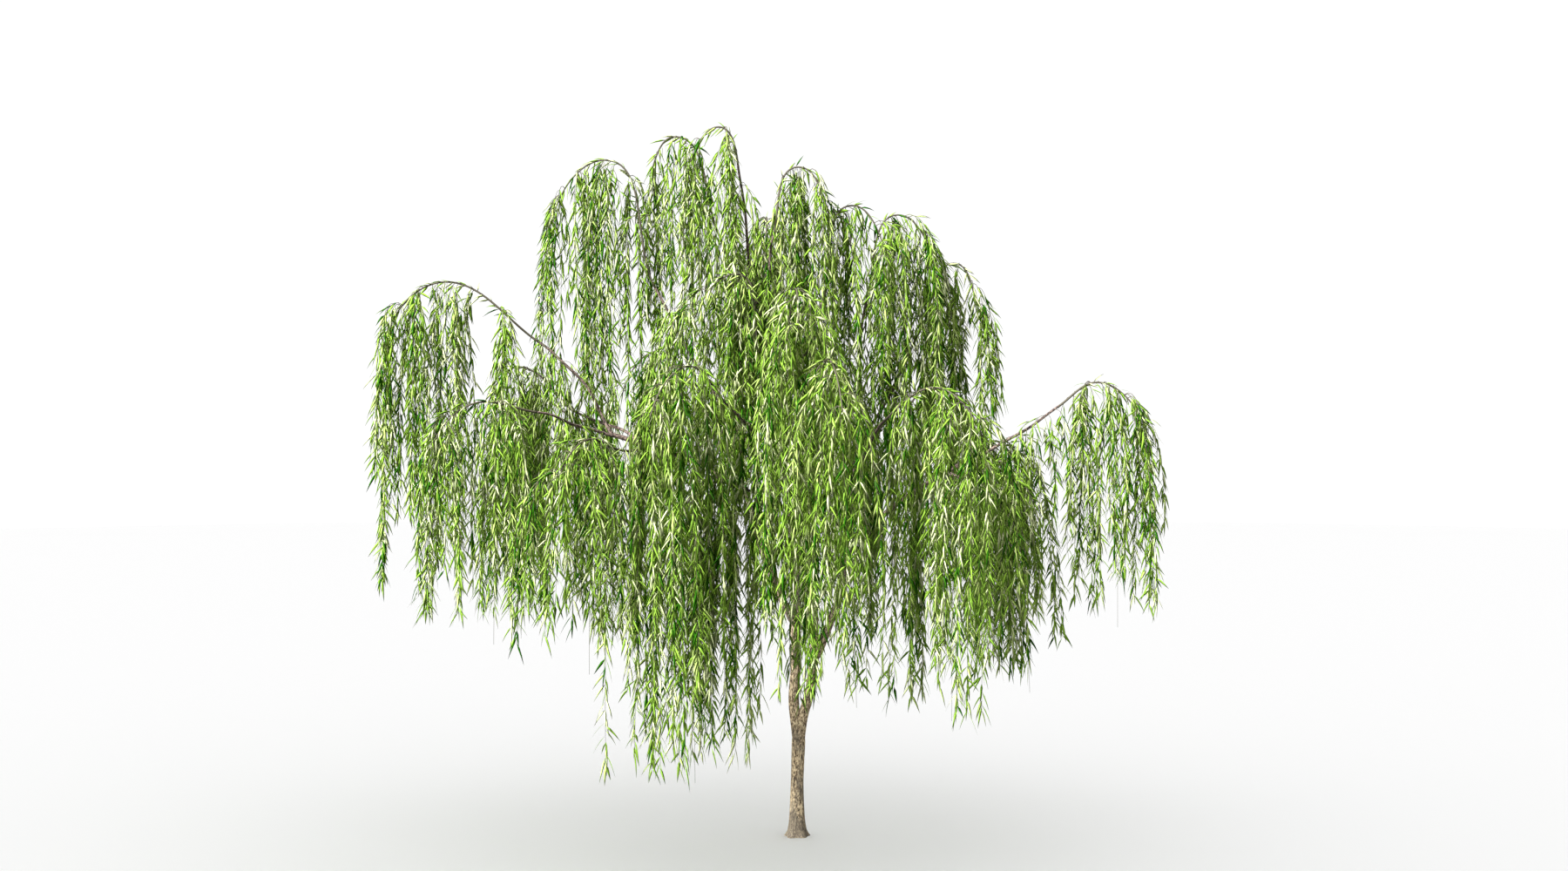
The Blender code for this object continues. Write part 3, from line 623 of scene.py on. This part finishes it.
def grow_shoots(bough, base, stem):
    """Lines of one mass: its main shoots, by the rule of the solid ones, more of them beside these
    in tassels, the sprays that leave them and those on the outer part of its bough. Each has its
    root radius and the length that is bare at its foot."""
    draw = np.random.default_rng([SEED, SHOOT_DRAW + BOUGHS.index(bough)])
    loose = np.random.default_rng([SEED, SPRAY_DRAW + BOUGHS.index(bough)])
    along = np.gradient(stem, axis=0)
    hang = bough.crest[2] - bough.skirt
    grown = []
    mains = []
    for number in range(int(bough.shoots * SHOOT_CROWD)):
        if number < bough.shoots or number % TASSEL_EVERY == 0:
            place = SHOOT_FIRST - SHOOT_STRETCH * ((number * GOLDEN_SHARE) % 1.0)
            forward = unit(along[int(round(place * (len(stem) - 1)))] * (1, 1, 0))
            across = np.cross(UP, forward) * (1 if number % 2 else -1)
            turn = draw.uniform(*SHOOT_TURN)
            out = forward * math.cos(turn) + across * math.sin(turn)
            out = out * bough.width * draw.uniform(SHOOT_REACH, 1.0)
            mains.append((place, out))
        else:
            place, out = mains[number % bough.shoots]
            place = min(place + loose.uniform(*TASSEL_SHIFT), SHOOT_FIRST)
            out = out + np.append(loose.uniform(-TASSEL_WIDTH, TASSEL_WIDTH, 2), 0.0)
        root = point_on(stem, place)
        short = RAGGED * hang * ((number * GOLDEN_SHARE ** 2) % 1.0) ** RAGGED_BIAS
        bare = number == BARE_SHOOT
        drop = root[2] - bough.skirt - short - SHOOT_TAIL + BARE_DROP * bare
        line = hanging_line(root, out, SHOOT_RISE, drop, loose)
        grown.append((line, SHOOT_ROOT, BARE_FOOT * bare))
        for _ in range(SPRAYS_PER_SHOOT[number % 2]):
            start = point_on(line, loose.uniform(*SPRAY_PLACE))
            shorter = SPRAY_SHORT * loose.uniform(*SPRAY_SHORT_SPREAD)
            fall = (start[2] - line[-1, 2]) * (1 - shorter)
            fall = min(fall, start[2] - bough.skirt - SHOOT_TAIL)
            grown.append((spray_line(start, SPRAY_REACH, fall, loose), SPRAY_ROOT, 0.0))
    for place in loose.uniform(*BOUGH_SPRAY_PLACE, BOUGH_SPRAYS):
        fall = loose.uniform(*BOUGH_SPRAY_HANG)
        line = spray_line(point_on(base, place), BOUGH_SPRAY_REACH, fall, loose)
        grown.append((line, SPRAY_ROOT, 0.0))
    return grown


def joined(parts):
    """Points and triangles of several meshes as one, the corners counted on."""
    offsets = np.cumsum([0] + [len(points) for points, _ in parts[:-1]])
    points = np.concatenate([points for points, _ in parts])
    shifted = [triangles + offset for (_, triangles), offset in zip(parts, offsets)]
    return points, np.concatenate(shifted)


twig_bark = plain_material("twig_bark", TWIG_BARK, *TWIG_FINISH)
young_twig_bark = plain_material("young_twig_bark", YOUNG_TWIG_BARK, *YOUNG_TWIG_FINISH)
foliage = {}
for bough in BOUGHS:
    line, _ = lines[bough.name + "_bough"]
    lead = unit(line[-1] - line[-2])
    shares = np.linspace(0.0, 1.0, ARCH_RINGS + 1)
    stem = arch_line(line[-1], lead, bough.crest, bough.end, shares)
    shoots = grow_shoots(bough, line, stem)
    radii = np.linspace(BOUGH_TIP, ARCH_END, len(stem))[:, None]
    parts = [(tube_points(stem, radii, ARCH_SIDES)[0], tube_triangles(len(stem), ARCH_SIDES))]
    shoot_cells = tube_triangles(SHOOT_RINGS + 1, TWIG_SIDES)
    for line, root_radius, _ in shoots:
        radii = np.linspace(root_radius, SHOOT_END, len(line))[:, None]
        parts.append((tube_points(line, radii, TWIG_SIDES)[0], shoot_cells))
    points, triangles = joined(parts)
    tints = np.zeros(len(triangles))
    young = np.arange(len(shoots)) % YOUNG_TWIG_EVERY == 1
    tints[len(parts[0][1]):] = np.repeat(young, len(shoot_cells))
    piece = new_piece(bough.name + "_twigs", points, triangles, [twig_bark, young_twig_bark], tints)
    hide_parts(bough.name + "_foliage")
    foliage[bough.name] = (stem, shoots)

# ---------------------------------------------------------------------------------------------
# Leaves. Narrow and pointed, 10 to 16 cm long, one of four greens above and a fifth beneath, set
# one by one down every shoot and drooping from it. Each is folded along its midrib.
# ---------------------------------------------------------------------------------------------
LEAF_LENGTH = (0.100, 0.158)
LEAF_WIDTH = (0.0150, 0.0232)
LEAF_KEEL = 0.0022
LEAF_STATIONS = (0.30, 0.64)
LEAF_BREADTHS = (1.0, 0.68)
LEAF_SPACING = 0.0300
LEAF_BARE = 0.03
LEAF_LEAN = (math.radians(14), math.radians(66))
LEAF_DROOP = 0.22
LEAF_CURL = 0.06
LEAF_SAG = (0.10, 0.42)
LEAF_TWIST = 0.9
LEAF_TWIST_SHARE = 0.6
LEAF_SCATTER = 0.6
LEAF_TURN_SPREAD = 0.8
LEAF_POINTS = 8
GOLDEN_ANGLE = math.radians(137.5)
# The arching stem is bare over its first part of six
STEM_PARTS = 6
# Leaves in a run of one green, and the share of runs that take their shoot's own green
TINT_RUN = 5
TINT_KEPT = 0.35

LEAF_GREENS = {
    "leaf_lime": (0.350, 0.388, 0.205),
    "leaf_fresh": (0.226, 0.298, 0.082),
    "leaf_green": (0.096, 0.180, 0.020),
    "leaf_deep": (0.014, 0.066, 0.002),
}
LEAF_UNDER = (0.124, 0.214, 0.024)
LEAF_FINISH = (0.60, 0.02)
LEAF_UNDER_FINISH = (0.70, 0.02)
TINT_ODDS = (0.28, 0.28, 0.24, 0.20)


def leaf_rows(line, bare, draw):
    """Places of the leaves down one shoot to where its bare foot starts: the root of each, its
    direction and its upper side. Each leans out, a golden angle on from the last, and droops."""
    run = run_along(line)
    count = int((run[-1] - LEAF_BARE - bare) / LEAF_SPACING)
    if count < 1:
        return np.empty((0, 3, 3))
    steps = np.arange(count) + draw.uniform(-LEAF_SCATTER, LEAF_SCATTER, count)
    distance = run[-1] - bare - LEAF_SPACING * steps
    distance = np.clip(distance, 0, run[-1])
    along, side, other = frames_along(line)
    at = [np.stack([np.interp(distance, run, field[:, axis]) for axis in range(3)], axis=1)
          for field in (line, along, side, other)]
    angle = draw.uniform(0, 2 * math.pi) + GOLDEN_ANGLE * np.arange(count)
    angle = angle + draw.normal(0, LEAF_TURN_SPREAD, count)
    outward = at[2] * np.cos(angle)[:, None] + at[3] * np.sin(angle)[:, None]
    lean = draw.uniform(*LEAF_LEAN, count)[:, None]
    direction = unit(unit(at[1]) * np.cos(lean) + outward * np.sin(lean) - UP * LEAF_DROOP)
    upper = outward + draw.normal(0, LEAF_TWIST, (count, 3)) * LEAF_TWIST_SHARE
    upper = unit(upper - direction * (upper * direction).sum(axis=1, keepdims=True))
    return np.stack([at[0], direction, upper], axis=1)


def leaf_points(places, draw):
    """Eight points a leaf: its base, left edge, right edge and keel at two stations, and its tip.
    The middle line curls off its upper side and sags, both by the square of the share along it."""
    count = len(places)
    root, along, upper = places[:, 0], places[:, 1], places[:, 2]
    across = np.cross(along, upper)
    length = draw.uniform(*LEAF_LENGTH, count)[:, None]
    half = draw.uniform(*LEAF_WIDTH, count)[:, None] / 2
    bend = upper * LEAF_CURL + UP * draw.uniform(*LEAF_SAG, count)[:, None]
    points = np.empty((count, LEAF_POINTS, 3))
    points[:, 0] = root
    for station, (share, breadth) in enumerate(zip(LEAF_STATIONS, LEAF_BREADTHS)):
        middle = root + length * (along * share - bend * share ** 2)
        points[:, 1 + 3 * station] = middle + across * half * breadth
        points[:, 2 + 3 * station] = middle - across * half * breadth
        points[:, 3 + 3 * station] = middle - upper * LEAF_KEEL * breadth
    points[:, -1] = root + length * (along - bend)
    return points


LEAF_UPPER_FACES = [(0, 2, 1), (1, 2, 5), (1, 5, 4), (4, 5, 7)]
LEAF_UNDER_FACES = [(0, 1, 3), (1, 4, 6), (1, 6, 3), (4, 7, 6),
                    (0, 3, 2), (3, 6, 5), (3, 5, 2), (6, 7, 5)]
leaf_faces = np.array(LEAF_UPPER_FACES + LEAF_UNDER_FACES)
leaf_materials = [plain_material(name, colour, *LEAF_FINISH) for name, colour in LEAF_GREENS.items()]
leaf_materials.append(plain_material("leaf_underside", LEAF_UNDER, *LEAF_UNDER_FINISH))
for number, bough in enumerate(BOUGHS):
    stem, shoots = foliage[bough.name]
    draw = np.random.default_rng([SEED, LEAF_DRAW + number])
    places = []
    tones = []
    for line, _, bare in [(stem[len(stem) // STEM_PARTS:], 0.0, 0.0)] + shoots:
        rows = leaf_rows(line, bare, draw)
        base_tone = draw.choice(len(LEAF_GREENS), p=TINT_ODDS)
        tone = draw.choice(len(LEAF_GREENS), size=len(rows) // TINT_RUN + 1, p=TINT_ODDS)
        tone = np.where(draw.uniform(size=len(tone)) < TINT_KEPT, base_tone, tone)
        places.append(rows)
        tones.append(np.repeat(tone, TINT_RUN)[:len(rows)])
    places = np.concatenate(places)
    tones = np.concatenate(tones)
    points = leaf_points(places, draw).reshape(-1, 3)
    first_points = LEAF_POINTS * np.arange(len(places))[:, None, None]
    triangles = (leaf_faces[None] + first_points).reshape(-1, 3)
    tints = np.full((len(places), len(leaf_faces)), len(LEAF_GREENS))
    tints[:, :len(LEAF_UPPER_FACES)] = tones[:, None]
    piece = new_piece(bough.name + "_leaves", points, triangles, leaf_materials, tints.ravel())
    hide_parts(bough.name + "_foliage")

# ---------------------------------------------------------------------------------------------
# Studio. A plain pale floor, soft light from the upper left and a bright room all round.
# ---------------------------------------------------------------------------------------------
FLOOR_RADIUS = 60.0
FLOOR_SIDES = 96
FLOOR_DROP = 0.0005
FLOOR_COLOUR = (0.96, 0.96, 0.96)
FLOOR_FINISH = (0.90, 0.10)
ROOM_LIGHT = 1.03
KEY_STRENGTH = 16.4
KEY_TURN = (math.radians(46), 0.0, math.radians(-48))
FILL_STRENGTH = 5.2
FILL_TURN = (math.radians(66), 0.0, math.radians(-35))
LIGHT_SPREAD = math.radians(14)
CAMERA_PLACE = (-0.11, -16.0, 3.39)
CAMERA_TURN = (math.radians(90), 0, 0)
FRAME_WIDTH = 13.28
SENSOR_WIDTH = 36.0

floor_mesh = bpy.data.meshes.new("floor")
angles = np.arange(FLOOR_SIDES) * 2 * math.pi / FLOOR_SIDES
rim = np.stack([FLOOR_RADIUS * np.cos(angles), FLOOR_RADIUS * np.sin(angles),
                0 * angles - FLOOR_DROP], axis=1)
floor_mesh.from_pydata(rim.tolist(), [], [tuple(range(FLOOR_SIDES))])
floor_mesh.materials.append(plain_material("studio_floor", FLOOR_COLOUR, *FLOOR_FINISH))
floor = bpy.data.objects.new("studio_floor", floor_mesh)
bpy.context.scene.collection.objects.link(floor)

world = bpy.data.worlds.new("studio_room")
world.use_nodes = True
room = world.node_tree.nodes["Background"]
room.inputs["Color"].default_value = (1.0, 1.0, 1.0, 1.0)
room.inputs["Strength"].default_value = ROOM_LIGHT
bpy.context.scene.world = world

# Both lights fall on the tree alone, so it casts no hard shadow on the floor. The room's light
# still leaves a soft shade under it.
tree_pieces = bpy.data.collections.new("tree_pieces")
for piece in bpy.context.scene.objects:
    if piece.type == "MESH" and piece != floor:
        tree_pieces.objects.link(piece)

for name, strength, turn in (("key_light", KEY_STRENGTH, KEY_TURN),
                             ("fill_light", FILL_STRENGTH, FILL_TURN)):
    light = bpy.data.lights.new(name, "SUN")
    light.energy = strength
    light.angle = LIGHT_SPREAD
    light_object = bpy.data.objects.new(name, light)
    light_object.rotation_euler = turn
    bpy.context.scene.collection.objects.link(light_object)
    light_object.light_linking.receiver_collection = tree_pieces

camera = bpy.data.cameras.new("camera")
camera.sensor_width = SENSOR_WIDTH
camera.lens = SENSOR_WIDTH * abs(CAMERA_PLACE[1]) / FRAME_WIDTH
camera_object = bpy.data.objects.new("camera", camera)
camera_object.location = CAMERA_PLACE
camera_object.rotation_euler = CAMERA_TURN
bpy.context.scene.collection.objects.link(camera_object)
bpy.context.scene.camera = camera_object
bpy.context.scene.view_settings.view_transform = "Standard"
